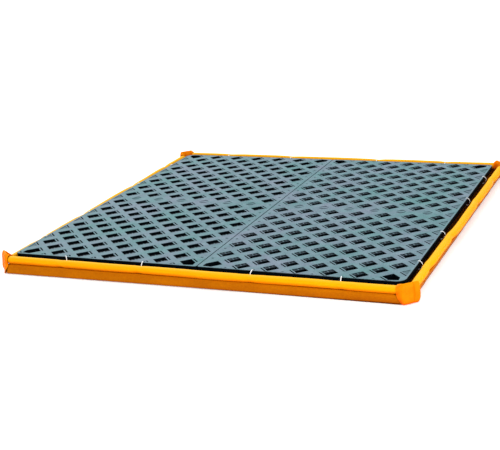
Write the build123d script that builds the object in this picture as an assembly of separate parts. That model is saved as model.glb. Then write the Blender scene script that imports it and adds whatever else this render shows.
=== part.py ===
from build123d import *
import math
import os

# Low flexible spill containment pallet: a coated fabric basin whose edges are held up by
# foam logs, with two moulded grates standing in it. Millimetres, +Z up, origin at the
# middle of the footprint on the floor, the seam between the grates along Y.

# Grate lattice
PITCH_X = 86.6
PITCH_Y = 89.0
COLUMNS = 7
ROWS = 14
SEAM_TO_COLUMN = 0.49 * PITCH_X
EDGE_TO_COLUMN = 0.51 * PITCH_X
END_TO_ROW = 0.345 * PITCH_Y
SEAM_GAP = 3.0
HOLE_SIDE = 35.0
CORNER_REACH = 32.0
LIP = 3.5
LIP_GROOVE = 2.5
LIP_END_GAP = 3.0
LIP_ROOT = 1.0
LEDGE = 12.0

# Grate heights and corners
DECK_TOP = 50.0
LEDGE_DROP = 5.0
LATTICE_DEPTH = 18.0
OUTER_RADIUS = 28.0
SEAM_RADIUS = 6.0

# Grate edge details
RIM = 6.0
EDGE_SLOT = (16.0, 5.5)
POCKET_BASE = 40.0
POCKET_DEPTH = 19.0
BAND_POCKET = (34.0, 16.0)
BAND_RIB = 8.0
SEAM_DOT = (4.5, 3.0)
SEAM_DOT_INSET = 17.0
NOTCH = (6.0, 2.0)
FOOT_RADIUS = 13.0

# Fabric basin, with distances outward from the grates' edge
FABRIC = 1.5
WALL_OUT = 40.0
LOG_OUT = 32.0
LOG_HEIGHT = 39.0
SLEEVE_RADIUS = 12.5
SLEEVE_FABRIC = 1.2
FOAM_CLEARANCE = 0.3
FOAM_END_GAP = 2.0
SOFT_GAP = 0.3
END_SETBACK = 15.0
FLOOR_CHAMFER = 26.0

# Corner boots
BOOT_ARM = 13.5
BOOT_OUT = 43.5
BOOT_IN = 21.0
BOOT_CHAMFER = 28.0
BOOT_INNER_CHAMFER = 17.0
BOOT_TOP = 60.0
BOOT_TAPER = 4.0

# Hem hanging under each log, with an eyelet for each tie
HEM_OUT = 22.5
HEM_THICK = 1.2
HEM_LOW = 14.0
HEM_TOP = 29.5
EYELET_RADIUS = 4.0
EYELET_HEIGHT = 21.0

# Ties round the grates' rims
TIE_WIDTH = 4.5
TIE_THICK = 1.3
TIE_IN = 8.5
TIE_OUT = 17.0
TIE_HEAD = (6.0, 5.5, 4.0)
TIE_GAP = 1  # between the strap and the lattice above it
TIE_TURN = 2  # where the strap starts to bend down, past the edge
TIE_BELLY = (37.5, 30.5)  # heights between which the strap hangs straight
CUT_PAST = 1  # how far a cut runs past what it cuts
TIE_COLUMNS = (1.5, 4.5)
TIE_ROWS = (2, 5)

DECK_X = SEAM_TO_COLUMN + (COLUMNS - 1) * PITCH_X + EDGE_TO_COLUMN
DECK_Y = (ROWS - 1) / 2 * PITCH_Y + END_TO_ROW
LATTICE_LOW = DECK_TOP - LATTICE_DEPTH
HALF = HOLE_SIDE / 2
MIDDLE_ROW = ROWS // 2
ANGLES = {"front": -90, "right": 0, "back": 90, "left": 180}
CORNERS = {"front_left": (-1, -1), "front_right": (1, -1), "back_right": (1, 1), "back_left": (-1, 1)}


def column_x(column):
    """Distance from the seam of a hole column in the right-hand grate."""
    return SEAM_TO_COLUMN + column * PITCH_X


def reach(side):
    """Distance from the origin to the grates' edge on one side."""
    return DECK_X if side in ("left", "right") else DECK_Y


def half_length(side):
    """Half the length of the pieces that run along one side."""
    across = DECK_Y if side in ("left", "right") else DECK_X
    return across - END_SETBACK


def placed(shape, side):
    """Turns a piece made for the right-hand side onto its own side."""
    return shape.rotate(Axis.Z, ANGLES[side])


def tie_places(side):
    """Where the ties of one side stand along it, left to right or front to back."""
    if side in ("left", "right"):
        found = [row * PITCH_Y for row in TIE_ROWS]
    else:
        found = [column_x(column) for column in TIE_COLUMNS]
    return sorted([-place for place in found] + found)


def along(side, place):
    """The same place on the right-hand side, before the piece is turned."""
    return place if side in ("front", "right") else -place


def block(low, high):
    """A box between two corners."""
    size = [b - a for a, b in zip(low, high)]
    return Solid.make_box(*size).moved(Location(low))


def polygon(points):
    return Wire.make_polygon([Vector(x, y, 0) for x, y in points], close=True)


def rectangle(x, y, width, depth):
    half = (width / 2, depth / 2)
    corners = [(-1, -1), (1, -1), (1, 1), (-1, 1)]
    return polygon([(x + a * half[0], y + b * half[1]) for a, b in corners])


def layer(outline, holes, low, high):
    """A flat layer of a grate between two heights."""
    face = Face(outline, holes).moved(Location((0, 0, low)))
    return Solid.extrude(face, Vector(0, 0, high - low))


def turned(points, x, y):
    """Points along a hole's own sides, turned 45 degrees onto the lattice."""
    root = math.sqrt(0.5)
    return [(x + (u - v) * root, y - (u + v) * root) for u, v in points]


def upper_hole(x, y, corner):
    """A square hole with a lip along one side, or squared out towards the grate's corner."""
    near = HALF + LIP
    far = near + LIP_GROOVE
    tip = HALF - LIP_END_GAP
    root = LIP_ROOT - HALF
    lip = [(tip, HALF), (tip, near), (root, near), (root, far), (HALF, far)]
    tips = [(-HALF, HALF), (HALF, HALF), (HALF, -HALF), (-HALF, -HALF)]
    reaches = [(0, CORNER_REACH), (CORNER_REACH, 0), (0, -CORNER_REACH), (-CORNER_REACH, 0)]
    points = []
    for point, far_point, direction in zip(tips, reaches, CORNERS.values()):
        points.append(point)
        if corner == direction:
            points.append(far_point)
        elif direction == CORNERS["front_left"]:
            points += lip
    return polygon(turned(points, x, y))


def lower_hole(x, y):
    """The same hole below the ledge that narrows it."""
    inner = LEDGE - HALF
    points = [(inner, HALF), (HALF, HALF), (HALF, -HALF), (inner, -HALF)]
    return polygon(turned(points, x, y))


def hole_places():
    """Every hole of the right-hand grate, with the corner of the grate that it stands in."""
    places = []
    for column in range(COLUMNS):
        for row in range(ROWS):
            x_side = {0: -1, COLUMNS - 1: 1}.get(column, 0)
            y_side = {0: -1, ROWS - 1: 1}.get(row, 0)
            corner = (x_side, y_side) if x_side and y_side else None
            places.append((column_x(column), (row - (ROWS - 1) / 2) * PITCH_Y, corner))
    for column in range(COLUMNS - 1):
        for row in range(1 - MIDDLE_ROW, MIDDLE_ROW):
            if row:
                places.append((column_x(column + 0.5), row * PITCH_Y, None))
    return places


def edge_openings():
    """Slots along the two ends, triangles along the outer side and dots along the seam."""
    slot_y = DECK_Y - RIM - EDGE_SLOT[1] / 2
    base_x = DECK_X - RIM
    wires = []
    for column in range(COLUMNS - 1):
        for y in (-slot_y, slot_y):
            wires.append(rectangle(column_x(column + 0.5), y, *EDGE_SLOT))
    for row in range(1 - MIDDLE_ROW, MIDDLE_ROW):
        y = row * PITCH_Y
        base = [(base_x, y - POCKET_BASE / 2), (base_x, y + POCKET_BASE / 2)]
        wires.append(polygon(base + [(base_x - POCKET_DEPTH, y)]))
        dot = Wire.make_ellipse(*SEAM_DOT)
        wires.append(dot.moved(Location((SEAM_DOT_INSET, y, 0))))
    return wires


def band_pockets():
    """Pairs of shallow triangles along the solid middle band."""
    wires = []
    width, depth = BAND_POCKET
    for column in range(COLUMNS - 1):
        x = column_x(column + 0.5)
        for way in (-1, 1):
            base_y = way * BAND_RIB / 2
            base = [(x - width / 2, base_y), (x + width / 2, base_y)]
            wires.append(polygon(base + [(x, base_y + way * depth)]))
    return wires


def tie_notches():
    """Shallow notches across the rim that let the ties lie flush with the deck."""
    width, depth = NOTCH
    notches = []
    for side in ("front", "right", "back"):
        edge = reach(side)
        for place in tie_places(side):
            y = along(side, place)
            low = (edge - TIE_IN - CUT_PAST, y - width / 2, DECK_TOP - depth)
            high = (edge + CUT_PAST, y + width / 2, DECK_TOP + CUT_PAST)
            notches.append(placed(block(low, high), side))
    return notches


def right_grate():
    corners = [(SEAM_GAP / 2, -DECK_Y), (DECK_X, -DECK_Y), (DECK_X, DECK_Y), (SEAM_GAP / 2, DECK_Y)]
    radii = [SEAM_RADIUS, OUTER_RADIUS, OUTER_RADIUS, SEAM_RADIUS]
    outline = FilletPolyline(*corners, radius=radii, close=True).wire()
    places = hole_places()
    upper = [upper_hole(*place) for place in places]
    lower = [lower_hole(x, y) if corner is None else upper_hole(x, y, corner) for x, y, corner in places]
    through = edge_openings()
    ledge = DECK_TOP - LEDGE_DROP
    top = layer(outline, upper + through + band_pockets(), ledge, DECK_TOP)
    bottom = layer(outline, lower + through, LATTICE_LOW, ledge)
    return (top + bottom) - tie_notches()


def right_feet():
    """Feet under the crossings of the bars, every second one each way."""
    feet = []
    for column in range(0, COLUMNS, 2):
        for row in range(1 - MIDDLE_ROW, MIDDLE_ROW, 2):
            foot = Solid.make_cylinder(FOOT_RADIUS, LATTICE_LOW - FABRIC)
            feet.append(foot.moved(Location((column_x(column), row * PITCH_Y, FABRIC))))
    return Compound(children=feet)


def sump_floor():
    x, y = DECK_X + WALL_OUT, DECK_Y + WALL_OUT
    points = []
    for a, b in CORNERS.values():
        ends = [(a * x, b * (y - FLOOR_CHAMFER)), (a * (x - FLOOR_CHAMFER), b * y)]
        points += ends if a * b > 0 else ends[::-1]
    return Solid.extrude(Face(polygon(points)), Vector(0, 0, FABRIC))


def wall(side):
    """The upright sheet under one log."""
    outer = reach(side) + WALL_OUT
    drop = math.sqrt(SLEEVE_RADIUS**2 - (WALL_OUT - FABRIC - LOG_OUT)**2)
    top = LOG_HEIGHT - drop - SOFT_GAP
    half = half_length(side)
    return placed(block((outer - FABRIC, -half, FABRIC), (outer, half, top)), side)


def rod(side, radius, half):
    """A round bar along one side, at the logs' place."""
    plane = Plane((reach(side) + LOG_OUT, -half, LOG_HEIGHT), z_dir=(0, 1, 0))
    return Solid.make_cylinder(radius, 2 * half, plane)


def sleeve(side):
    half = half_length(side)
    shell = rod(side, SLEEVE_RADIUS, half) - rod(side, SLEEVE_RADIUS - SLEEVE_FABRIC, half)
    return placed(shell, side)


def foam_log(side):
    radius = SLEEVE_RADIUS - SLEEVE_FABRIC - FOAM_CLEARANCE
    return placed(rod(side, radius, half_length(side) - FOAM_END_GAP), side)


def hem(side):
    """The flap under a log, with an eyelet beside each tie."""
    middle = reach(side) + HEM_OUT
    half = half_length(side)
    low = (middle - HEM_THICK / 2, -half, HEM_LOW)
    high = (middle + HEM_THICK / 2, half, HEM_TOP)
    strip = block(low, high)
    for place in tie_places(side):
        plane = Plane((low[0] - 1, along(side, place), EYELET_HEIGHT), z_dir=(1, 0, 0))
        strip = strip - Solid.make_cylinder(EYELET_RADIUS, HEM_THICK + 2, plane)
    return placed(strip, side)


def boot(corner):
    """The folded fabric that closes one corner of the basin, as a plain solid."""
    outer_cut = BOOT_OUT - BOOT_CHAMFER
    inner_cut = BOOT_IN - BOOT_INNER_CHAMFER
    outer = [(-BOOT_ARM, BOOT_OUT), (outer_cut, BOOT_OUT), (BOOT_OUT, outer_cut), (BOOT_OUT, -BOOT_ARM)]
    inner = [(BOOT_IN, -BOOT_ARM), (BOOT_IN, inner_cut), (inner_cut, BOOT_IN), (-BOOT_ARM, BOOT_IN)]
    a, b = CORNERS[corner]
    points = [(a * (DECK_X + x), b * (DECK_Y + y)) for x, y in outer + inner]
    face = Face(polygon(points[::-a * b])).moved(Location((0, 0, FABRIC)))
    return extrude(face, BOOT_TOP - FABRIC, taper=BOOT_TAPER).solid()


def tie(side, place):
    """A strap looped through the grate's edge opening and round its rim, with its head below."""
    edge = reach(side)
    y = along(side, place)
    top = DECK_TOP - (NOTCH[1] - TIE_THICK) / 2
    low = LATTICE_LOW - TIE_THICK - TIE_GAP
    turn, bend = TIE_TURN, TIE_TURN / 4
    upper, lower = TIE_BELLY
    inner_out = TIE_OUT - TIE_THICK
    inside = [(TIE_THICK - TIE_IN, top - TIE_THICK), (turn, top - TIE_THICK), (inner_out, upper - bend)]
    inside += [(inner_out, lower + bend), (turn / 2, low + TIE_THICK), (TIE_THICK - TIE_IN, low + TIE_THICK)]
    outside = [(-TIE_IN, top), (turn + bend, top), (TIE_OUT, upper), (TIE_OUT, lower)]
    outside += [(turn / 2 + bend, low), (-TIE_IN, low)]
    wires = []
    for points in (outside, inside):
        corners = [Vector(edge + o, y - TIE_WIDTH / 2, z) for o, z in points]
        wires.append(Wire.make_polygon(corners, close=True))
    strap = Solid.extrude(Face(wires[0], [wires[1]]), Vector(0, TIE_WIDTH, 0))
    width, length, height = TIE_HEAD
    head_low = (edge - TIE_IN + TIE_THICK, y - width / 2, low - height + TIE_THICK)
    head_high = (head_low[0] + length, y + width / 2, low + TIE_THICK)
    return placed(strap + block(head_low, head_high), side)


def opposite(shape):
    """The same piece turned half round the origin."""
    return shape.rotate(Axis.Z, 180)


def parts():
    """Every node of the pallet by name."""
    grate, feet = right_grate(), right_feet()
    nodes = {"sump_floor": sump_floor(), "right_grate": grate, "left_grate": opposite(grate)}
    nodes.update({"right_grate_feet": feet, "left_grate_feet": opposite(feet)})
    for side in ANGLES:
        nodes[f"{side}_wall"] = wall(side)
        nodes[f"{side}_sleeve"] = sleeve(side)
        nodes[f"{side}_foam_log"] = foam_log(side)
        nodes[f"{side}_hem"] = hem(side)
        for number, place in enumerate(tie_places(side), 1):
            nodes[f"{side}_tie_{number}"] = tie(side, place)
    for corner in CORNERS:
        nodes[f"{corner}_boot"] = boot(corner)
    return nodes


os.makedirs("parts", exist_ok=True)
for name, shape in parts().items():
    export_step(shape, f"parts/{name}.step")
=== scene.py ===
import math

import bmesh
import bpy
from mathutils import Matrix, Vector, noise


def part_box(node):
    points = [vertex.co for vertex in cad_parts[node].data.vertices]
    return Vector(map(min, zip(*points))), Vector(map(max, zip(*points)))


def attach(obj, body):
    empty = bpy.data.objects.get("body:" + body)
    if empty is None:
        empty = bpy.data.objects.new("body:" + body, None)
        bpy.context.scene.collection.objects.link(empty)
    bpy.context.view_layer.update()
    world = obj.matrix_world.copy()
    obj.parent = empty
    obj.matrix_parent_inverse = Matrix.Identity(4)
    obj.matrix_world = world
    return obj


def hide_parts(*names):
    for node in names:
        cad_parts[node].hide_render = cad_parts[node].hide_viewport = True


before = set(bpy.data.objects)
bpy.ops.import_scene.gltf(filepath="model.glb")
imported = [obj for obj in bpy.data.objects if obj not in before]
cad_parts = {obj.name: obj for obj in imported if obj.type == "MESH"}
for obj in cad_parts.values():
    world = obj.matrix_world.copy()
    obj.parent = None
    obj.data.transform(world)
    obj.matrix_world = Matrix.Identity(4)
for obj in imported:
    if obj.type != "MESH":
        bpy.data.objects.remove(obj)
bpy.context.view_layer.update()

MM = 0.001
SIDES = ("front", "right", "back", "left")
CORNERS = {"front_left": (-1, -1), "front_right": (1, -1), "back_right": (1, 1), "back_left": (-1, 1)}

# Grate lattice
PITCH_X = 86.6 * MM
PITCH_Y = 89.0 * MM
COLUMNS = 7
ROWS = 14
HALF_ROWS = ROWS // 2
SEAM_TO_COLUMN = 0.49 * PITCH_X
HALF_HOLE = 18.0 * MM
CORNER_OUT = (27.0 * MM, 22.0 * MM)
HOLE_ROUND = 1.8 * MM
LIP = 4.0 * MM
LIP_GROOVE = 4.2 * MM
LIP_END_GAP = 3.0 * MM
LEDGE = 13.0 * MM
LEDGE_DROP = 2.3 * MM
GROOVE_DROP = 5.0 * MM
RIM = 6.0 * MM
EDGE_BEVEL = 0.7 * MM
LAYER_OVERLAP = 1.2 * MM
POCKET_DROP = 1.65 * MM
POCKET_SPREAD = 0.5 * MM
LEDGE_RIBS = [([0], 1.6 * MM), ([-10 * MM, 10 * MM], 1.85 * MM)]  # places along the ledge, and depth
RIB_HALF = 1.8 * MM
RIB_OUTER = 0.5 * MM
RIB_INNER = 1.2 * MM
BAND_POCKET = (4 * MM, 17 * MM, 16 * MM)  # from the middle, half its base, and how deep
SEAM_DOT = (17 * MM, 4.6 * MM, 3.0 * MM)  # from the seam, and half its length and width
LEAST_OPENING = 25 * MM * MM
FAR_CORNER_RADIUS = 10.0 * MM
OUTER_RADIUS = 28.0 * MM
SEAM_RADIUS = 6.0 * MM
FOOT_TURNS = 20
FOOT_RIB = 0.03
FOOT_SECTION = [  # radius and height of a foot, in millimetres
    (0.0, 3.0), (6.0, 3.0), (9.2, 0.6), (10.0, 0.0), (11.2, 0.4), (11.8, 2.0), (11.4, 6.0),
    (12.0, 18.0), (12.6, 27.0), (13.0, 30.5), (0.0, 30.5),
]

# Basin section, outward from the grates' edge
SLEEVE_STEP = 5 * MM
TUBE_PAST = 4 * MM
TUBE_TURNS = 28
PUFF_MESH = 4 * MM
PUFF_PRESSURE = 4
PUFF_FRAMES = 20
RIM_SWAY = 1.8 * MM
RIM_LIFT = 1.2 * MM
RIM_SLACK = {"front": 1.0, "right": 1.6, "back": 1.0, "left": 1.0}
RIGHT_FULLER = 0.4 * MM
TIE_SPREAD = 26 * MM
TIE_PULL = 2.4 * MM
TIE_DIP = 0.8 * MM
TIE_TUCK = 0.75
TIE_LEAN = 0.12
FIRST_TIE_LEAN = 0.75
TIE_HEAD = (4.6 * MM, 3.2 * MM, 4.6 * MM)
TIE_HEAD_AT = (-9.5 * MM, 28.4 * MM, 0)
CREASE_HEIGHT = 27.4
WALL_SECTION = [  # outward and up, in millimetres, from the crease under the tube to the floor
    (31, 27.4), (35, 26.6), (38.2, 26.4), (40.0, 24.2), (41.2, 19.5), (41.7, 14), (41.5, 8.5),
    (40.9, 4.2), (39.6, 1.9), (37.4, 1.1), (33, 0.9),
]
RIM_SHIFT = {
    "front": ((0, 0), (0, 0)),
    "right": ((-7, -3), (-3, -2)),
    "back": ((0, 0), (0, 0)),
    "left": ((-9, -12), (-5, -4)),
}
TIE_REACH = {"front": 1.0, "right": 0.7, "back": 1.0, "left": 0.5}
FABRIC = 1.2 * MM
BOOT_LAP = {"front_left": 1, "front_right": -10, "back_right": 0, "back_left": 0}
SIDE_LAP = -5
LAP_FLARE = 12
BOOT_STEPS = 40
BOOT_CUT = 36
BOOT_FACE = 45
CUT_FALL = 0.75
LEAST_CUT = 11.0

DECK_LOW, DECK_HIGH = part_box("right_grate")
DECK_X, DECK_Y, DECK_TOP = DECK_HIGH
LATTICE_LOW = DECK_LOW.z
SEAM_HALF = DECK_LOW.x


# ---------------------------------------------------------------- geometry helpers

def mesh_piece(name, points, faces, smooth=True):
    """A new mesh piece from points and faces."""
    mesh = bpy.data.meshes.new(name)
    mesh.from_pydata([tuple(p) for p in points], [], faces)
    mesh.update()
    for face in mesh.polygons:
        face.use_smooth = smooth
    piece = bpy.data.objects.new(name, mesh)
    bpy.context.scene.collection.objects.link(piece)
    return piece


def woven(name, rows, around=False):
    """A quad surface through rows of points; around closes each row on itself."""
    count = len(rows[0])
    span = count if around else count - 1
    faces = []
    for i in range(len(rows) - 1):
        for j in range(span):
            k = (j + 1) % count
            faces.append((i * count + j, i * count + k, (i + 1) * count + k, (i + 1) * count + j))
    return mesh_piece(name, [p for row in rows for p in row], faces)


def outward(piece):
    """Turns every face's normal outward."""
    shape = bmesh.new()
    shape.from_mesh(piece.data)
    bmesh.ops.recalc_face_normals(shape, faces=shape.faces)
    shape.to_mesh(piece.data)
    shape.free()


def with_modifier(piece, kind, **settings):
    modifier = piece.modifiers.new(kind.lower(), kind)
    for key, value in settings.items():
        setattr(modifier, key, value)
    return modifier


def applied(piece):
    """Applies every modifier of a piece, so its mesh is final."""
    graph = bpy.context.evaluated_depsgraph_get()
    graph.update()
    mesh = bpy.data.meshes.new_from_object(piece.evaluated_get(graph))
    old = piece.data
    piece.modifiers.clear()
    piece.data = mesh
    bpy.data.meshes.remove(old)
    return piece


def smooth(low, high, value):
    """A smooth step from 0 at low to 1 at high."""
    t = min(1.0, max(0.0, (value - low) / (high - low)))
    return t * t * (3 - 2 * t)


def reach(side):
    return DECK_X if side in ("left", "right") else DECK_Y


def at_side(side, along, out, height):
    """A point given along one side, outward from the grates' edge, and above the floor."""
    if side == "front":
        return Vector((along, -DECK_Y - out, height))
    if side == "back":
        return Vector((along, DECK_Y + out, height))
    if side == "right":
        return Vector((DECK_X + out, along, height))
    return Vector((-DECK_X - out, along, height))


def tie_places(side):
    """Where the ties of one side are, along it."""
    found = []
    for number in range(1, 5):
        low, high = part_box(f"{side}_tie_{number}")
        middle = (low + high) / 2
        found.append(middle.y if side in ("left", "right") else middle.x)
    return found


def half_length(side):
    low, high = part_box(f"{side}_sleeve")
    return high.y if side in ("left", "right") else high.x


def pull(side, along):
    """How strongly a tie draws the rim in at a place: 1 at the tie, 0 away from it."""
    return max(math.exp(-((along - place) / TIE_SPREAD) ** 2) for place in PLACES[side])


def rim_shift(side, along):
    """How far the soft rim of one side has settled at a place: outward and up, in millimetres."""
    start, end = RIM_SHIFT[side]
    share = min(1.0, max(0.0, 0.5 + along / (2 * half_length(side))))
    return [a + (b - a) * share for a, b in zip(start, end)]


def ripple(x, y, z, size):
    """Smooth noise from about -1 to 1, with features of one size."""
    return noise.noise(Vector((x, y, z)) / size)


PLACES = {side: tie_places(side) for side in SIDES}


# ---------------------------------------------------------------- shader helpers

def linear(red, green, blue):
    """A shader colour from the 0 to 255 values of a paint card."""
    values = []
    for value in (red, green, blue):
        c = value / 255
        values.append(c / 12.92 if c <= 0.04045 else ((c + 0.055) / 1.055) ** 2.4)
    return (*values, 1.0)


def set_input(tree, node, key, value):
    """Sets an input of a node to a value, or links another node's socket to it."""
    if isinstance(value, bpy.types.NodeSocket):
        tree.links.new(value, node.inputs[key])
    else:
        node.inputs[key].default_value = value


def add_node(tree, kind, inputs=(), **settings):
    """A new node, with its settings and the values or links of its inputs."""
    made = tree.nodes.new(kind)
    for key, value in settings.items():
        setattr(made, key, value)
    for key, value in dict(inputs).items():
        set_input(tree, made, key, value)
    return made


def new_group(name, inputs, outputs):
    """An empty shader group with named sockets, its input node and its output node."""
    tree = bpy.data.node_groups.new(name, "ShaderNodeTree")
    kinds = {"value": "NodeSocketFloat", "colour": "NodeSocketColor", "vector": "NodeSocketVector"}
    for label, (kind, value) in inputs.items():
        socket = tree.interface.new_socket(label, in_out="INPUT", socket_type=kinds[kind])
        if value is not None:
            socket.default_value = value
    for label, kind in outputs.items():
        tree.interface.new_socket(label, in_out="OUTPUT", socket_type=kinds[kind])
    return tree, tree.nodes.new("NodeGroupInput"), tree.nodes.new("NodeGroupOutput")


def grouped(tree, group, inputs):
    """A shader group placed in a material with its own values."""
    return add_node(tree, "ShaderNodeGroup", inputs, node_tree=group)


def mixed(tree, share, first, second, blend="MIX"):
    """A colour between two colours."""
    inputs = {0: share, 6: first, 7: second}
    return add_node(tree, "ShaderNodeMix", inputs, data_type="RGBA", blend_type=blend).outputs[2]


def maths(tree, operation, *values):
    """The result of one operation on values or sockets."""
    return add_node(tree, "ShaderNodeMath", enumerate(values), operation=operation).outputs[0]


def ranged(tree, value, low, high, to_low=0.0, to_high=1.0):
    """A value carried from one range to another, and held at its ends."""
    made = add_node(tree, "ShaderNodeMapRange", {0: value, 1: low, 2: high, 3: to_low, 4: to_high})
    return made.outputs[0]


def noise_at(tree, vector, scale, detail=3.0, roughness=0.55):
    """Noise at a place on the surface."""
    inputs = {"Vector": vector, "Scale": scale, "Detail": detail, "Roughness": roughness}
    return add_node(tree, "ShaderNodeTexNoise", inputs)


# ---------------------------------------------------------------- shader groups

def weave_group():
    """Fine plain weave showing through a plastic coat: a height and a mask of the threads."""
    tree, inside, outside = new_group(
        "coated_weave",
        {"Threads": ("value", 700.0), "Wrinkle Size": ("value", 30.0)},
        {"Height": "value", "Threads": "value"},
    )
    place = add_node(tree, "ShaderNodeTexCoord").outputs["Object"]
    waves = []
    for direction in ("X", "Y", "Z"):
        inputs = {"Vector": place, "Scale": inside.outputs["Threads"], "Distortion": 0.3}
        wave = add_node(tree, "ShaderNodeTexWave", inputs, bands_direction=direction)
        waves.append(wave.outputs["Fac"])
    threads = maths(tree, "MULTIPLY", waves[0], waves[1])
    threads = maths(tree, "ADD", threads, maths(tree, "MULTIPLY", waves[2], 0.5))
    wrinkles = noise_at(tree, place, inside.outputs["Wrinkle Size"], 4.0, 0.6).outputs["Fac"]
    height = maths(tree, "ADD", maths(tree, "MULTIPLY", threads, 0.08), wrinkles)
    tree.links.new(height, outside.inputs["Height"])
    tree.links.new(threads, outside.inputs["Threads"])
    return tree


def mottle_group():
    """Broad and fine colour variation between two colours."""
    tree, inside, outside = new_group(
        "mottle",
        {
            "First": ("colour", None),
            "Second": ("colour", None),
            "Broad": ("value", 8.0),
            "Fine": ("value", 90.0),
            "Fine Share": ("value", 0.5),
        },
        {"Color": "colour", "Mask": "value"},
    )
    place = add_node(tree, "ShaderNodeTexCoord").outputs["Object"]
    broad = noise_at(tree, place, inside.outputs["Broad"]).outputs["Fac"]
    fine = noise_at(tree, place, inside.outputs["Fine"], 5.0, 0.65).outputs["Fac"]
    blend = add_node(tree, "ShaderNodeMix", {0: inside.outputs["Fine Share"], 2: broad, 3: fine})
    mask = ranged(tree, blend.outputs[0], 0.36, 0.64)
    colour = mixed(tree, mask, inside.outputs["First"], inside.outputs["Second"])
    tree.links.new(colour, outside.inputs["Color"])
    tree.links.new(mask, outside.inputs["Mask"])
    return tree


def grime_and_shade_group():
    """A mask below a height, broken up by noise: dirt on the fabric near the floor, and painted shade in the
    grate's recesses.
    """
    tree, inside, outside = new_group(
        "low_grime_and_shade",
        {"Full Below": ("value", 0.0), "None Above": ("value", 0.02), "Ragged": ("value", 0.4)},
        {"Mask": "value"},
    )
    place = add_node(tree, "ShaderNodeTexCoord").outputs["Object"]
    height = add_node(tree, "ShaderNodeSeparateXYZ", {0: place}).outputs["Z"]
    steps = {0: height, 1: inside.outputs["Full Below"], 2: inside.outputs["None Above"], 3: 1.0, 4: 0.0}
    depth = add_node(tree, "ShaderNodeMapRange", steps).outputs[0]
    patches = noise_at(tree, place, 45.0, 4.0).outputs["Fac"]
    uneven = maths(tree, "MULTIPLY", patches, inside.outputs["Ragged"])
    mask = maths(tree, "MULTIPLY", depth, maths(tree, "SUBTRACT", 1.15, uneven))
    tree.links.new(add_node(tree, "ShaderNodeClamp", {0: mask}).outputs[0], outside.inputs["Mask"])
    return tree


def scuff_group():
    """Thin scratches and rubbed patches."""
    tree, inside, outside = new_group(
        "scuffs", {"Scale": ("value", 40.0), "Amount": ("value", 0.5)}, {"Mask": "value"}
    )
    place = add_node(tree, "ShaderNodeTexCoord").outputs["Object"]
    stretched = add_node(tree, "ShaderNodeMapping", {"Vector": place, "Scale": (1.0, 6.0, 3.0)})
    lines = noise_at(tree, stretched.outputs[0], inside.outputs["Scale"], 6.0, 0.7).outputs["Fac"]
    patches = noise_at(tree, place, 12.0).outputs["Fac"]
    mask = maths(tree, "MULTIPLY", ranged(tree, lines, 0.6, 0.72), ranged(tree, patches, 0.45, 0.62))
    mask = maths(tree, "MULTIPLY", mask, inside.outputs["Amount"])
    tree.links.new(mask, outside.inputs["Mask"])
    return tree


WEAVE = weave_group()
MOTTLE = mottle_group()
GRIME_AND_SHADE = grime_and_shade_group()
SCUFFS = scuff_group()


# ---------------------------------------------------------------- materials

def new_material(name, **shader):
    """A material with a Principled shader whose even values are set on its own sockets."""
    made = bpy.data.materials.new(name)
    made.use_nodes = True
    principled = made.node_tree.nodes["Principled BSDF"]
    for key, value in shader.items():
        principled.inputs[key.replace("_", " ")].default_value = value
    return made, made.node_tree, principled


def bump(tree, principled, height, distance, strength=1.0):
    made = add_node(tree, "ShaderNodeBump", {"Height": height, "Distance": distance, "Strength": strength})
    tree.links.new(made.outputs[0], principled.inputs["Normal"])


def coated_fabric(name, first, second, shade, top_highlight_and_scuff, grime_top):
    """Coated fabric: mottled, with painted shade on its underside and a painted highlight on its top, dirty
    near the floor.
    """
    made, tree, principled = new_material(name, Specular_IOR_Level=0.02)
    colours = {"First": first, "Second": second, "Broad": 9.0, "Fine": 160.0, "Fine Share": 0.45}
    base = grouped(tree, MOTTLE, colours)
    weave = grouped(tree, WEAVE, {"Threads": 620.0, "Wrinkle Size": 34.0})
    normal = add_node(tree, "ShaderNodeNewGeometry").outputs["Normal"]
    up = add_node(tree, "ShaderNodeSeparateXYZ", {0: normal}).outputs["Z"]
    # painted shade: faces that point down take the shade colour
    colour = mixed(tree, ranged(tree, up, 0.25, -0.5, 0.0, 0.9), base.outputs["Color"], shade)
    # painted highlight: faces that point up take the paler colour, which the scuffs also use
    colour = mixed(tree, ranged(tree, up, 0.5, 1.0, 0.0, 0.7), colour, top_highlight_and_scuff)
    threads = ranged(tree, weave.outputs["Threads"], 0.0, 1.5, 0.88, 1.0)
    colour = mixed(tree, 1.0, colour, threads, "MULTIPLY")
    grime = grouped(tree, GRIME_AND_SHADE, {"Full Below": -0.002, "None Above": grime_top, "Ragged": 0.7})
    colour = mixed(tree, grime.outputs["Mask"], colour, linear(120, 60, 6))
    scuffs = grouped(tree, SCUFFS, {"Scale": 55.0, "Amount": 0.3})
    colour = mixed(tree, scuffs.outputs["Mask"], colour, top_highlight_and_scuff)
    tree.links.new(colour, principled.inputs["Base Color"])
    rough = ranged(tree, base.outputs["Mask"], 0.0, 1.0, 0.44, 0.58)
    rough = maths(tree, "ADD", rough, scuffs.outputs["Mask"])
    tree.links.new(rough, principled.inputs["Roughness"])
    bump(tree, principled, weave.outputs["Height"], 0.0011, 0.45)
    return made


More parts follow.
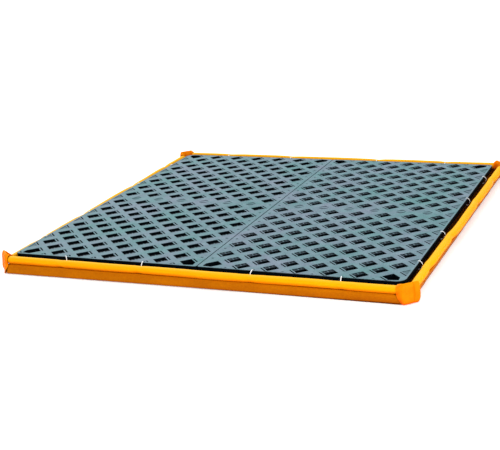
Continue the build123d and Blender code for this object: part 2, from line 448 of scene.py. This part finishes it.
def moulded_grate():
    """Slate grey moulded plastic: mottled and scuffed on top, with painted shade that makes its ledges dark
    grey and its holes black.
    """
    made, tree, principled = new_material("slate_grate_plastic", Specular_IOR_Level=0.03)
    base = grouped(tree, MOTTLE, {
        "First": linear(74, 104, 114), "Second": linear(126, 156, 163), "Broad": 34.0, "Fine": 240.0,
        "Fine Share": 0.62,
    })
    hues = grouped(tree, MOTTLE, {
        "First": linear(72, 126, 122), "Second": linear(124, 121, 143), "Broad": 10.0, "Fine": 50.0,
        "Fine Share": 0.3,
    })
    colour = mixed(tree, 0.45, base.outputs["Color"], hues.outputs["Color"])
    scuffs = grouped(tree, SCUFFS, {"Scale": 80.0, "Amount": 0.5})
    colour = mixed(tree, scuffs.outputs["Mask"], colour, linear(160, 177, 181))
    # painted shade: the ledges just below the top take a dark grey
    shelf = grouped(
        tree, GRIME_AND_SHADE, {"Full Below": DECK_TOP - 2.0 * MM, "None Above": DECK_TOP - 1.45 * MM, "Ragged": 0.35}
    )
    colour = mixed(tree, shelf.outputs["Mask"], colour, linear(24, 33, 41))
    # painted shade: upright walls below the top, and every surface deeper down, take near black
    side = grouped(
        tree, GRIME_AND_SHADE, {"Full Below": DECK_TOP - 1.2 * MM, "None Above": DECK_TOP - 0.4 * MM, "Ragged": 0.1}
    )
    deep = grouped(
        tree, GRIME_AND_SHADE, {"Full Below": DECK_TOP - 4.6 * MM, "None Above": DECK_TOP - 3.0 * MM, "Ragged": 0.1}
    )
    normal = add_node(tree, "ShaderNodeNewGeometry").outputs["Normal"]
    facing = add_node(tree, "ShaderNodeSeparateXYZ", {0: normal}).outputs["Z"]
    upright = ranged(tree, maths(tree, "ABSOLUTE", facing), 0.65, 0.25)
    upright_dark = maths(tree, "MULTIPLY", side.outputs["Mask"], upright)
    dark = maths(tree, "MAXIMUM", upright_dark, deep.outputs["Mask"])
    colour = mixed(tree, dark, colour, linear(2, 8, 14))
    tree.links.new(colour, principled.inputs["Base Color"])
    rough = ranged(tree, base.outputs["Mask"], 0.0, 1.0, 0.5, 0.68)
    tree.links.new(rough, principled.inputs["Roughness"])
    bump(tree, principled, base.outputs["Mask"], 0.0004, 0.5)
    return made


def nylon():
    """Natural white nylon of the ties."""
    made, tree, principled = new_material("white_nylon", Specular_IOR_Level=0.5)
    principled.inputs["Subsurface Weight"].default_value = 0.15
    principled.inputs["Subsurface Radius"].default_value = (0.002, 0.002, 0.002)
    colours = {"First": linear(232, 234, 236), "Second": linear(250, 250, 248), "Broad": 60.0, "Fine": 400.0}
    base = grouped(tree, MOTTLE, colours)
    tree.links.new(base.outputs["Color"], principled.inputs["Base Color"])
    rough = ranged(tree, base.outputs["Mask"], 0.0, 1.0, 0.28, 0.42)
    tree.links.new(rough, principled.inputs["Roughness"])
    bump(tree, principled, base.outputs["Mask"], 0.0001, 0.4)
    return made


def closed_cell_foam():
    """Pale foam of the logs."""
    made, tree, principled = new_material("pale_foam", Specular_IOR_Level=0.2)
    colours = {"First": linear(205, 204, 198), "Second": linear(226, 226, 222), "Broad": 30.0, "Fine": 500.0}
    base = grouped(tree, MOTTLE, colours)
    tree.links.new(base.outputs["Color"], principled.inputs["Base Color"])
    rough = ranged(tree, base.outputs["Mask"], 0.0, 1.0, 0.8, 0.95)
    tree.links.new(rough, principled.inputs["Roughness"])
    bump(tree, principled, base.outputs["Mask"], 0.0006, 0.7)
    return made


# Each fabric's fourth colour is its painted underside shade, and its fifth is its painted top highlight,
# which its scuffs also use.
YELLOW = coated_fabric(
    "yellow_sleeve_fabric", linear(244, 160, 0), linear(250, 170, 2), linear(226, 114, 0),
    linear(252, 190, 40), 0.0,
)
# Painted shade: the wall is the sleeve's yellow fabric, given a darker orange for the shade it stands in.
WALL_FABRIC_IN_PAINTED_SHADE = coated_fabric(
    "wall_fabric_painted_shade", linear(174, 92, 0), linear(194, 108, 0), linear(156, 72, 0),
    linear(206, 124, 4), 0.006,
)
AMBER = coated_fabric(
    "amber_corner_fabric", linear(236, 120, 0), linear(243, 134, 0), linear(222, 78, 0),
    linear(246, 156, 4), 0.003,
)
# Painted shade: the hem and the basin floor are coloured dark brown for the shadow inside the basin.
LINING_IN_PAINTED_SHADE = coated_fabric(
    "basin_lining_painted_shade", linear(58, 30, 4), linear(78, 40, 6), linear(40, 20, 2), linear(84, 46, 8), 0.012
)
GRATE = moulded_grate()
NYLON = nylon()
FOAM = closed_cell_foam()


def finished(piece, material, body, slot, *nodes):
    """Gives a piece its material and body, and hides the nodes that it stands for. Its slot is not used."""
    piece.data.materials.clear()
    piece.data.materials.append(material)
    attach(piece, body)
    if nodes:
        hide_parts(*nodes)
    return piece


# ---------------------------------------------------------------- grates

def turned(points, x, y):
    """Points along a hole's own sides, turned 45 degrees onto the lattice."""
    root = math.sqrt(0.5)
    return [(x + (u - v) * root, y - (u + v) * root) for u, v in points]


def rounded(points, radius, steps=2):
    """The same outline with its corners rounded, each as far as its sides allow."""
    result = []
    count = len(points)
    for i, point in enumerate(points):
        here = Vector(point)
        before = Vector(points[i - 1]) - here
        after = Vector(points[(i + 1) % count]) - here
        cut = min(radius, before.length * 0.4, after.length * 0.4)
        start = here + before.normalized() * cut
        end = here + after.normalized() * cut
        for k in range(steps + 1):
            t = k / steps
            result.append(start * (1 - t) ** 2 + here * (2 * t * (1 - t)) + end * t * t)
    return [(p.x, p.y) for p in result]


def clipped(points, limit_x, limit_y):
    """The part of an outline inside the grate's rim."""
    for axis, sign, limit in ((0, 1, limit_x), (1, 1, limit_y), (1, -1, limit_y)):
        kept = []
        for i, point in enumerate(points):
            before = points[i - 1]
            inside, was_inside = sign * point[axis] <= limit, sign * before[axis] <= limit
            if inside != was_inside:
                t = (sign * limit - before[axis]) / (point[axis] - before[axis])
                kept.append(tuple(b + (p - b) * t for b, p in zip(before, point)))
            if inside:
                kept.append(point)
        points = kept
    return points


def cell(x, y, corner, ledge, grooved):
    """A square hole: narrowed by a ledge on one side, and with a lip and its groove on the next."""
    near, far = HALF_HOLE + LIP, HALF_HOLE + LIP + LIP_GROOVE
    tip, root = HALF_HOLE - LIP_END_GAP, 1.5 * MM - HALF_HOLE
    lip = [(tip, HALF_HOLE), (tip, near), (root, near), (root, far), (HALF_HOLE, far)]
    west = (ledge if corner is None else 0) - HALF_HOLE
    tips = [(west, HALF_HOLE), (HALF_HOLE, HALF_HOLE), (HALF_HOLE, -HALF_HOLE), (west, -HALF_HOLE)]
    points = []
    for point, direction in zip(tips, CORNERS.values()):
        points.append(point)
        if corner == direction:
            out_x, out_y = (way * out for way, out in zip(direction, CORNER_OUT))
            points.append(((out_x - out_y) / math.sqrt(2), -(out_x + out_y) / math.sqrt(2)))
        elif direction == (-1, -1) and grooved:
            points += lip
    return turned(points, x, y)


def row_hole(column, row):
    """The middle of a hole of the straight rows."""
    return SEAM_TO_COLUMN + column * PITCH_X, (row - (ROWS - 1) / 2) * PITCH_Y


def between_hole(column, row):
    """The middle of a hole between four others, its row counted from the middle of the grate."""
    return SEAM_TO_COLUMN + (column + 0.5) * PITCH_X, row * PITCH_Y


def at_corner(column, row):
    """The corner of the grate that a hole of the straight rows is at, or None."""
    x_side = {0: -1, COLUMNS - 1: 1}.get(column, 0)
    y_side = {0: -1, ROWS - 1: 1}.get(row, 0)
    return (x_side, y_side) if x_side and y_side else None


def lattice(ledge, grooved):
    """Every opening of the right-hand grate at one level."""
    limits = DECK_X - RIM, DECK_Y - RIM
    outlines = []
    for column in range(COLUMNS):
        for row in range(ROWS):
            outlines.append(cell(*row_hole(column, row), at_corner(column, row), ledge, grooved))
    for column in range(COLUMNS):
        for row in range(-HALF_ROWS, HALF_ROWS + 1):
            if row or column == COLUMNS - 1:
                outlines.append(clipped(cell(*between_hole(column, row), None, ledge, grooved), *limits))
    outlines = [points for points in outlines if len(points) > 2 and area_of(points) > LEAST_OPENING]
    outlines = [rounded(points, HOLE_ROUND) for points in outlines]
    return outlines + seam_dots() + (band_pockets() if grooved else [])


def area_of(points):
    """The area inside an outline."""
    total = 0.0
    for i, (x, y) in enumerate(points):
        before = points[i - 1]
        total += before[0] * y - x * before[1]
    return abs(total) / 2


def seam_dots():
    """Small oval openings along the seam, one for each interleaved row."""
    dots = []
    turns = [k * math.tau / 12 for k in range(12)]
    middle, half_x, half_y = SEAM_DOT
    for row in range(1 - HALF_ROWS, HALF_ROWS):
        dots.append([(middle + half_x * math.cos(a), row * PITCH_Y + half_y * math.sin(a)) for a in turns])
    return dots


def band_pockets():
    """Pairs of shallow triangles along the solid middle band."""
    pockets = []
    base, half, deep = BAND_POCKET
    for column in range(COLUMNS - 1):
        x, y = between_hole(column, 0)
        for way in (-1, 1):
            low = y + way * base
            corners = [(x - half, low), (x + half, low), (x, low + way * deep)]
            pockets.append(rounded(corners, HOLE_ROUND))
    return pockets


def half_pockets():
    """The shallow floors of the half cells along the outer side."""
    half = HALF_HOLE
    square = [(-half, half), (half, half), (half, -half), (-half, -half)]
    floors = []
    for row in range(1 - HALF_ROWS, HALF_ROWS):
        floors.append(clipped(turned(square, *between_hole(COLUMNS - 1, row)), DECK_X - RIM, DECK_Y - RIM))
    return floors


def ledge_ribs(places):
    """Short ribs on the ledge of every full hole, at some places along it."""
    straight = [(column, row) for column in range(COLUMNS) for row in range(ROWS)]
    centres = [row_hole(*place) for place in straight if not at_corner(*place)]
    between = [(column, row) for column in range(COLUMNS - 1) for row in range(1 - HALF_ROWS, HALF_ROWS)]
    centres += [between_hole(*place) for place in between if place[1]]
    start, end = -HALF_HOLE - RIB_OUTER, LEDGE - HALF_HOLE - RIB_INNER
    ribs = []
    for x, y in centres:
        for place in places:
            low, high = place - RIB_HALF, place + RIB_HALF
            ribs.append(turned([(start, low), (end, low), (end, high), (start, high)], x, y))
    return ribs


def grate_outline():
    """The right-hand grate's outer edge, with its rounded corners."""
    points = []
    corners = [
        (SEAM_HALF, -DECK_Y, SEAM_RADIUS, 180),
        (DECK_X, -DECK_Y, OUTER_RADIUS, 270),
        (DECK_X, DECK_Y, FAR_CORNER_RADIUS, 0),
        (SEAM_HALF, DECK_Y, SEAM_RADIUS, 90),
    ]
    for x, y, radius, start in corners:
        centre_x = x + math.copysign(radius, DECK_X / 2 - x)
        centre_y = y - math.copysign(radius, y)
        for k in range(9):
            angle = math.radians(start + k * 90 / 8)
            points.append((centre_x + radius * math.cos(angle), centre_y + radius * math.sin(angle)))
    return points


def curve_mesh(curve):
    """The mesh of a curve, which is removed."""
    holder = bpy.data.objects.new(curve.name, curve)
    bpy.context.scene.collection.objects.link(holder)
    bpy.context.view_layer.update()
    graph = bpy.context.evaluated_depsgraph_get()
    mesh = bpy.data.meshes.new_from_object(holder.evaluated_get(graph))
    bpy.data.objects.remove(holder)
    bpy.data.curves.remove(curve)
    return mesh


def grate_layer(outlines, low, high, shrink):
    """One level of a grate as a bevelled slab with openings."""
    curve = bpy.data.curves.new("grate_layer", "CURVE")
    curve.dimensions = "2D"
    curve.fill_mode = "BOTH"
    curve.bevel_depth = EDGE_BEVEL
    curve.bevel_resolution = 1
    curve.offset = -EDGE_BEVEL - shrink
    curve.extrude = (high - low) / 2 - EDGE_BEVEL
    for outline in outlines:
        spline = curve.splines.new("POLY")
        spline.points.add(len(outline) - 1)
        for point, (x, y) in zip(spline.points, outline):
            point.co = (x, y, 0, 1)
        spline.use_cyclic_u = True
    mesh = curve_mesh(curve)
    mesh.transform(Matrix.Translation((0, 0, (low + high) / 2)))
    return mesh


def joined_mesh(name, meshes):
    """One mesh made of several."""
    shape = bmesh.new()
    for mesh in meshes:
        shape.from_mesh(mesh)
        bpy.data.meshes.remove(mesh)
    bmesh.ops.remove_doubles(shape, verts=shape.verts, dist=0.01 * MM)
    result = bpy.data.meshes.new(name)
    shape.to_mesh(result)
    shape.free()
    return result


def grates():
    """Both grates: one moulding, turned half round for the left-hand one."""
    shelf, groove = DECK_TOP - LEDGE_DROP, DECK_TOP - GROOVE_DROP
    outline = grate_outline()
    pockets = half_pockets() + band_pockets()
    levels = [
        grate_layer([outline] + lattice(0, True), shelf - LAYER_OVERLAP, DECK_TOP, 0),
        grate_layer([outline] + lattice(LEDGE, True), groove - LAYER_OVERLAP, shelf, 0.06 * MM),
        grate_layer([outline] + lattice(LEDGE, False), LATTICE_LOW, groove, 0.12 * MM),
        grate_layer(pockets, groove - LAYER_OVERLAP, DECK_TOP - POCKET_DROP, -POCKET_SPREAD),
        *(grate_layer(ledge_ribs(places), shelf - 2 * MM, DECK_TOP - drop, 0) for places, drop in LEDGE_RIBS),
    ]
    moulding = joined_mesh("grate_moulding", levels)
    for face in moulding.polygons:
        face.use_smooth = False
    for hand in ("left", "right"):
        mesh = moulding.copy()
        if hand == "left":
            mesh.transform(Matrix.Rotation(math.pi, 4, "Z"))
        piece = bpy.data.objects.new(f"{hand}_grate_moulding", mesh)
        bpy.context.scene.collection.objects.link(piece)
        finished(piece, GRATE, f"{hand}_grate", "grate", f"{hand}_grate")


def grate_feet(hand):
    """Tapered feet with a rounded shoe, under every second crossing of the bars."""
    low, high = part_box(f"{hand}_grate_feet")
    side = 1 if hand == "right" else -1
    tall = FOOT_SECTION[-1][1]
    points, faces = [], []
    for column in range(0, COLUMNS, 2):
        for row in range(1 - HALF_ROWS, HALF_ROWS, 2):
            x, y = side * (SEAM_TO_COLUMN + column * PITCH_X), row * PITCH_Y
            start = len(points)
            for radius, z in FOOT_SECTION:
                for k in range(FOOT_TURNS):
                    angle = k * math.tau / FOOT_TURNS
                    rib = 1.0 + (FOOT_RIB if k % 5 == 0 and 1 < z < tall - 1.5 else 0.0)
                    size = max(radius, 0.05) * MM * rib
                    height = low.z + z * (high.z - low.z) / tall
                    points.append((x + size * math.cos(angle), y + size * math.sin(angle), height))
            for i in range(len(FOOT_SECTION) - 1):
                for k in range(FOOT_TURNS):
                    j = (k + 1) % FOOT_TURNS
                    a, b = start + i * FOOT_TURNS, start + (i + 1) * FOOT_TURNS
                    faces.append((a + k, a + j, b + j, b + k))
    piece = mesh_piece(f"{hand}_moulded_feet", points, faces)
    outward(piece)
    finished(piece, GRATE, f"{hand}_grate", "grate", f"{hand}_grate_feet")


# ---------------------------------------------------------------- ties

def tie_outline():
    """The loop of a tie, outward from the edge and above the floor, in millimetres."""
    return [(-8.6, 32), (-8.8, 44), (-6.5, 49.6), (-1, 51.6), (5, 50.2), (11, 45.5), (13.6, 40),
            (9.5, 34.5), (5, 30), (0, 27.4), (-5, 27.8)]


def tie(side, number, place):
    """A flat nylon strap looped through the grate's edge and round its rim, with its head."""
    name = f"{side}_tie_{number}"
    curve = bpy.data.curves.new(name, "CURVE")
    curve.dimensions = "2D"
    curve.fill_mode = "NONE"
    curve.extrude = 0.8 * MM
    curve.bevel_depth = 0.6 * MM
    curve.bevel_resolution = 2
    spline = curve.splines.new("BEZIER")
    outline = tie_outline()
    spline.bezier_points.add(len(outline) - 1)
    for point, (out, height) in zip(spline.bezier_points, outline):
        point.co = (out * MM, height * MM, 0)
        point.handle_left_type = point.handle_right_type = "AUTO"
    spline.use_cyclic_u = True
    spline.resolution_u = 5
    mesh = curve_mesh(curve)
    shape = bmesh.new()
    shape.from_mesh(mesh)
    head = bmesh.ops.create_cube(shape, size=1.0)["verts"]
    for vertex in head:
        vertex.co = Vector(size * share for size, share in zip(TIE_HEAD, vertex.co)) + Vector(TIE_HEAD_AT)
    edges = {edge for vertex in head for edge in vertex.link_edges}
    bmesh.ops.bevel(shape, geom=list(edges), offset=0.8 * MM, segments=2, affect="EDGES")
    lean = FIRST_TIE_LEAN if (side, number) == ("front", 1) else TIE_LEAN * (-1) ** number
    for vertex in shape.verts:
        out, height, across = vertex.co
        across += lean * max(0.0, out + 4 * MM)
        out *= TIE_REACH[side] if out > 0 else TIE_TUCK
        vertex.co = at_side(side, place + across, out, height)
    bmesh.ops.recalc_face_normals(shape, faces=shape.faces)
    shape.to_mesh(mesh)
    shape.free()
    for face in mesh.polygons:
        face.use_smooth = True
    piece = bpy.data.objects.new(f"{name}_strap", mesh)
    bpy.context.scene.collection.objects.link(piece)
    low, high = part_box(name)
    body = "left_grate" if (low.x + high.x) < 0 else "right_grate"
    finished(piece, NYLON, body, "tie", name)


# ---------------------------------------------------------------- basin

def end_of(side):
    """How far a side's tube and wall run from the middle, to inside the boots."""
    return reach("right" if side in ("front", "back") else "front") + TUBE_PAST


def tube_rings(side, radius, half, noisy):
    """Rings of points along one rim tube; noisy is how far the cloth's shape departs from round."""
    low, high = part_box(f"{side}_sleeve")
    middle = (low + high) / 2
    out = abs(middle.x if side in ("left", "right") else middle.y) - reach(side)
    seed = SIDES.index(side) * 7.3
    slack = RIM_SLACK[side]
    rings = []
    count = round(2 * half / SLEEVE_STEP)
    for i in range(count + 1):
        along = -half + 2 * half * i / count
        drawn = pull(side, along) * noisy
        inner = smooth(half - 10 * MM, half - 80 * MM, abs(along))
        fuller = (RIGHT_FULLER if side == "right" else 0) * inner
        shift_out, shift_up = rim_shift(side, along)
        sway = ripple(along, seed, 0, 0.2) * RIM_SWAY * noisy * slack
        lift = ripple(along, seed, 4, 0.15) * RIM_LIFT * noisy * slack
        centre_out = out + sway - TIE_PULL * drawn * slack + shift_out * MM
        centre_up = middle.z + lift - TIE_DIP * drawn + shift_up * MM
        ring = []
        for k in range(TUBE_TURNS):
            angle = k * math.tau / TUBE_TURNS
            folds = ripple(along, seed + 3 * math.cos(angle), 3 * math.sin(angle), 0.035)
            fine = math.sin(along / (7 * MM) + 3 * math.sin(angle + seed)) * drawn
            size = (radius + fuller) * (1 - 0.07 * drawn) + (0.35 * folds + 0.5 * fine) * MM * noisy
            ring.append(at_side(side, along, centre_out + size * math.cos(angle),
                                centre_up + size * math.sin(angle)))
        rings.append(ring)
    return rings


def closed_tube(name, rings):
    """A closed tube through rings, with its two ends filled."""
    piece = woven(name, rings, around=True)
    shape = bmesh.new()
    shape.from_mesh(piece.data)
    edges = [edge for edge in shape.edges if edge.is_boundary]
    bmesh.ops.holes_fill(shape, edges=edges, sides=0)
    bmesh.ops.recalc_face_normals(shape, faces=shape.faces)
    shape.to_mesh(piece.data)
    shape.free()
    return piece


def puffed(piece, cap):
    """Swells a closed fabric piece under inner pressure, moving no point further than the cap."""
    with_modifier(piece, "REMESH", mode="VOXEL", voxel_size=PUFF_MESH)
    applied(piece)
    before = [vertex.co.copy() for vertex in piece.data.vertices]
    cloth = piece.modifiers.new("cloth", "CLOTH")
    cloth.settings.use_pressure = True
    cloth.settings.uniform_pressure_force = PUFF_PRESSURE
    cloth.settings.effector_weights.gravity = 0
    cloth.settings.quality = 4
    cloth.point_cache.frame_start = 1
    cloth.point_cache.frame_end = PUFF_FRAMES
    for frame_number in range(1, PUFF_FRAMES + 1):
        bpy.context.scene.frame_set(frame_number)
    graph = bpy.context.evaluated_depsgraph_get()
    after = [vertex.co.copy() for vertex in piece.evaluated_get(graph).data.vertices]
    piece.modifiers.clear()
    for vertex, start, end in zip(piece.data.vertices, before, after):
        move = end - start
        if move.length > cap:
            move *= cap / move.length
        vertex.co = start + move
    bpy.context.scene.frame_set(1)
    for face in piece.data.polygons:
        face.use_smooth = True


def rim_tube(side):
    """The foam log and the fabric sleeve that is drawn over it."""
    low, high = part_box(f"{side}_sleeve")
    radius = (high.z - low.z) / 2
    end = end_of(side)
    log = closed_tube(f"{side}_foam", tube_rings(side, radius - 3.6 * MM, end - 4 * MM, 0.6))
    finished(log, FOAM, "basin", "foam", f"{side}_foam_log")
    cover = closed_tube(f"{side}_rim_sleeve", tube_rings(side, radius - 0.8 * MM, end, 1.0))
    puffed(cover, 1.6 * MM)
    with_modifier(cover, "SUBSURF", levels=1, render_levels=1)
    finished(cover, YELLOW, "basin", "sleeve_fabric", f"{side}_sleeve")


def side_wall(side):
    """The upright sheet below a rim tube: creased under it, bellied out, tucked in at the floor."""
    half = end_of(side)
    seed = SIDES.index(side) * 5.1
    rows = []
    count = round(2 * half / (8 * MM))
    for i in range(count + 1):
        along = -half + 2 * half * i / count
        drawn = pull(side, along)
        shift_out, shift_up = rim_shift(side, along)
        belly = ripple(along, seed, 0, 0.15) * 1.5 - 1.8 * drawn
        row = []
        for out, height in WALL_SECTION:
            up = height / CREASE_HEIGHT
            share = math.sin(math.pi * min(1.0, up))
            fold = ripple(along, seed, height * MM * 3, 0.05) * 0.8
            out += share * (belly + fold) + shift_out * up + foot_splay(side, along) * (1 - up)
            row.append(at_side(side, along, out * MM, (height + shift_up * up) * MM))
        rows.append(row)
    piece = woven(f"{side}_basin_wall", rows)
    outward(piece)
    with_modifier(piece, "SOLIDIFY", thickness=FABRIC, offset=-1)
    with_modifier(piece, "SUBSURF", levels=1, render_levels=1)
    finished(piece, WALL_FABRIC_IN_PAINTED_SHADE, "basin", "basin_fabric", f"{side}_wall")


def hem_strip(side):
    """The flap that hangs below a rim tube inside the basin; its eyelets for the ties are not cut."""
    low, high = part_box(f"{side}_hem")
    middle = (low + high) / 2
    out = abs(middle.x if side in ("left", "right") else middle.y) - reach(side)
    half = half_length(side)
    seed = SIDES.index(side) * 3.7
    rows = []
    count = round(2 * half / (6 * MM))
    for i in range(count + 1):
        along = -half + 2 * half * i / count
        shift_out, shift_up = rim_shift(side, along)
        row = []
        for step in range(4):
            height = low.z + (high.z - low.z) * step / 3
            loose = 1 - step / 3
            wave = ripple(along, seed, height * 4, 0.05) * 1.5 * MM * loose
            place = out + wave + loose * 0.5 * MM + shift_out * MM
            row.append(at_side(side, along, place, height + shift_up * MM * height / high.z))
        rows.append(row)
    piece = woven(f"{side}_hem_strip", rows)
    with_modifier(piece, "SOLIDIFY", thickness=1.0 * MM, offset=0)
    with_modifier(piece, "SUBSURF", levels=1, render_levels=1)
    finished(piece, LINING_IN_PAINTED_SHADE, "basin", "basin_fabric", f"{side}_hem")


def foot_splay(side, along):
    """How far the foot of a wall stands out from its rim at a place, in millimetres."""
    if side == "front":
        return 5.5 - 7.5 * along / half_length(side)
    return -18.0 if side == "right" else 0.0


def floor_sheet():
    """The bottom of the basin, lying on the floor, with its corners cut off."""
    low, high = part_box("sump_floor")
    half_x, half_y, cut = high.x, high.y, 34 * MM
    steps = 90
    rows = []
    for i in range(steps + 1):
        row = []
        for j in range(steps + 1):
            x, y = half_x * (2 * j / steps - 1), half_y * (2 * i / steps - 1)
            over = (abs(x) - half_x + cut) + (abs(y) - half_y + cut) - cut
            if over > 0 and abs(x) > half_x - cut and abs(y) > half_y - cut:
                x -= math.copysign(over / 2, x)
                y -= math.copysign(over / 2, y)
            x = min(x, half_x + foot_splay("right", y) * MM)
            swell = 0.35 + 0.3 * ripple(x, y, 0, 0.18) + 0.15 * ripple(x, y, 3, 0.05)
            row.append(Vector((x, y, low.z + 1.0 * MM + swell * MM * 0.6)))
        rows.append(row)
    piece = woven("sump_floor_sheet", rows)
    with_modifier(piece, "SOLIDIFY", thickness=0.9 * MM, offset=-1)
    finished(piece, LINING_IN_PAINTED_SHADE, "basin", "basin_fabric", "sump_floor")


# ---------------------------------------------------------------- corner boots

def round_corner(length, out, cut):
    """A point of the plan path round a corner, at a distance along it from its middle."""
    half = cut / math.sqrt(2)
    middle = out - cut / 2
    inside = max(-half, min(half, length))
    a = middle + inside / math.sqrt(2)
    b = middle - inside / math.sqrt(2)
    past = length - inside
    if past > 0:
        b -= past
    else:
        a += past
    return Vector((a, b))


def softened(length, out, cut, spread=5.0):
    """The same path with its bends softened."""
    found = [round_corner(length + step * spread / 2, out, cut) for step in (-2, -1, 0, 1, 2)]
    return sum(found, Vector((0, 0))) / len(found)


def boot_sections():
    """Two sections of a boot, outside to inside: wrapped round a tube end, and folded at the corner.
    Each point is outward from the edge, above the floor, in millimetres."""
    end = [(36, 0.8), (41.9, 1.2), (43.1, 5), (43.6, 12), (43.0, 20), (42.0, 25.5), (42.9, 29.5), (45.2, 34),
           (46.0, 40), (44.2, 46.9), (38.9, 52.0), (32, 53.6), (25, 51.6), (19.8, 46.5),
            (18.0, 39), (19.4, 30)]
    middle = [(36, 0.8), (44.2, 0.8), (47.6, 4), (48.2, 11), (47.6, 20), (46.7, 27), (46.0, 33), (45.2, 40),
              (44.4, 47), (43.0, 53), (40.8, 57.4), (38.2, 58.6), (35.2, 56.2), (32.2, 49),
               (29.5, 40), (27.5, 29)]
    return end, middle


def boot(corner):
    """The folded fabric round one corner of the basin."""
    a_sign, b_sign = CORNERS[corner]
    seed = list(CORNERS).index(corner) * 11.7
    end, middle = boot_sections()
    x_side = "left" if a_sign < 0 else "right"
    y_side = "front" if b_sign < 0 else "back"
    rows = []
    for i in range(BOOT_STEPS + 1):
        s = 2 * i / BOOT_STEPS - 1
        side, sign = (x_side, b_sign) if s > 0 else (y_side, a_sign)
        shift_out, shift_up = rim_shift(side, sign * half_length(side))
        lap = SIDE_LAP if s > 0 else BOOT_LAP[corner]
        share = smooth(1.0, 0.66, abs(s))
        row = []
        for (end_out, end_up), (mid_out, mid_up) in zip(end, middle):
            up = min(1.0, end_up / CREASE_HEIGHT)
            stand = foot_splay(side, sign * half_length(side)) * (1 - up) + shift_out * up
            out = end_out + stand + (mid_out - end_out - stand) * share
            height = end_up + shift_up * up + (mid_up - end_up - shift_up * up) * share
            lap_end = lap + LAP_FLARE - LAP_FLARE * smooth(2, 24, end_up)
            cut = max(LEAST_CUT, BOOT_CUT - (BOOT_FACE - out) * CUT_FALL)
            half = cut / math.sqrt(2) + max(0.0, out - cut - lap_end)
            crumple = ripple(s * 0.05, seed * MM, height * MM, 0.018) * 1.1 * share
            crease = -2.4 * math.exp(-((s - 0.2) / 0.05) ** 2) * share
            place = softened(s * half, out + crumple + crease, cut, 3.0)
            x, y = a_sign * (DECK_X + place.x * MM), b_sign * (DECK_Y + place.y * MM)
            row.append(Vector((x, y, height * MM)))
        rows.append(row)
    piece = woven(f"{corner}_corner_boot", rows)
    outward(piece)
    with_modifier(piece, "SOLIDIFY", thickness=FABRIC, offset=0)
    with_modifier(piece, "SUBSURF", levels=2, render_levels=2)
    finished(piece, AMBER, "basin", "boot_fabric", f"{corner}_boot")


# ---------------------------------------------------------------- studio

def studio():
    """A pale, softly glowing floor, soft lights and a true colour rendering."""
    half = 14.0
    corners = [(-half, -half, 0), (half, -half, 0), (half, half, 0), (-half, half, 0)]
    floor = mesh_piece("studio_floor", corners, [(0, 1, 2, 3)])
    floor.location.z = -0.4 * MM
    pale, _, _ = new_material(
        "studio_floor", Base_Color=(0.93, 0.93, 0.93, 1), Roughness=0.9, Specular_IOR_Level=0.1,
        Emission_Color=(1, 1, 1, 1), Emission_Strength=0.3,
    )
    floor.data.materials.append(pale)
    bpy.context.scene.view_settings.view_transform = "Standard"
    world = bpy.data.worlds.new("studio")
    bpy.context.scene.world = world
    world.use_nodes = True
    world.node_tree.nodes["Background"].inputs["Color"].default_value = (1, 1, 1, 1)
    world.node_tree.nodes["Background"].inputs["Strength"].default_value = 1.1
    lights = {
        "key": ((-5.2, 5.2, 5.0), 4.0, 420),
        "front": ((1.9, -1.7, 0.5), 0.6, 18),
    }
    for name, (place, size, power) in lights.items():
        light = bpy.data.lights.new(name, "AREA")
        light.size = size
        light.energy = power
        lamp = bpy.data.objects.new(name, light)
        lamp.location = place
        lamp.rotation_euler = (-Vector(place)).to_track_quat("-Z", "Y").to_euler()
        bpy.context.scene.collection.objects.link(lamp)


def camera():
    """A camera that looks down on the deck from in front of its right-hand half."""
    data = bpy.data.cameras.new("camera")
    data.sensor_width = 36
    data.lens = 79.8
    data.shift_x = -0.0546
    view = bpy.data.objects.new("camera", data)
    place, aim, roll = Vector((1.350, -3.263, 1.087)), Vector((0.089, -0.204, 0.05)), math.radians(-3.7)
    turn = (aim - place).to_track_quat("-Z", "Y").to_matrix().to_4x4()
    view.matrix_world = Matrix.Translation(place) @ turn @ Matrix.Rotation(roll, 4, "Z")
    bpy.context.scene.collection.objects.link(view)
    bpy.context.scene.camera = view


camera()
studio()
grates()
for hand in ("left", "right"):
    grate_feet(hand)
floor_sheet()
for side in SIDES:
    rim_tube(side)
    side_wall(side)
    hem_strip(side)
    for number, place in enumerate(PLACES[side], 1):
        tie(side, number, place)
for corner in CORNERS:
    boot(corner)
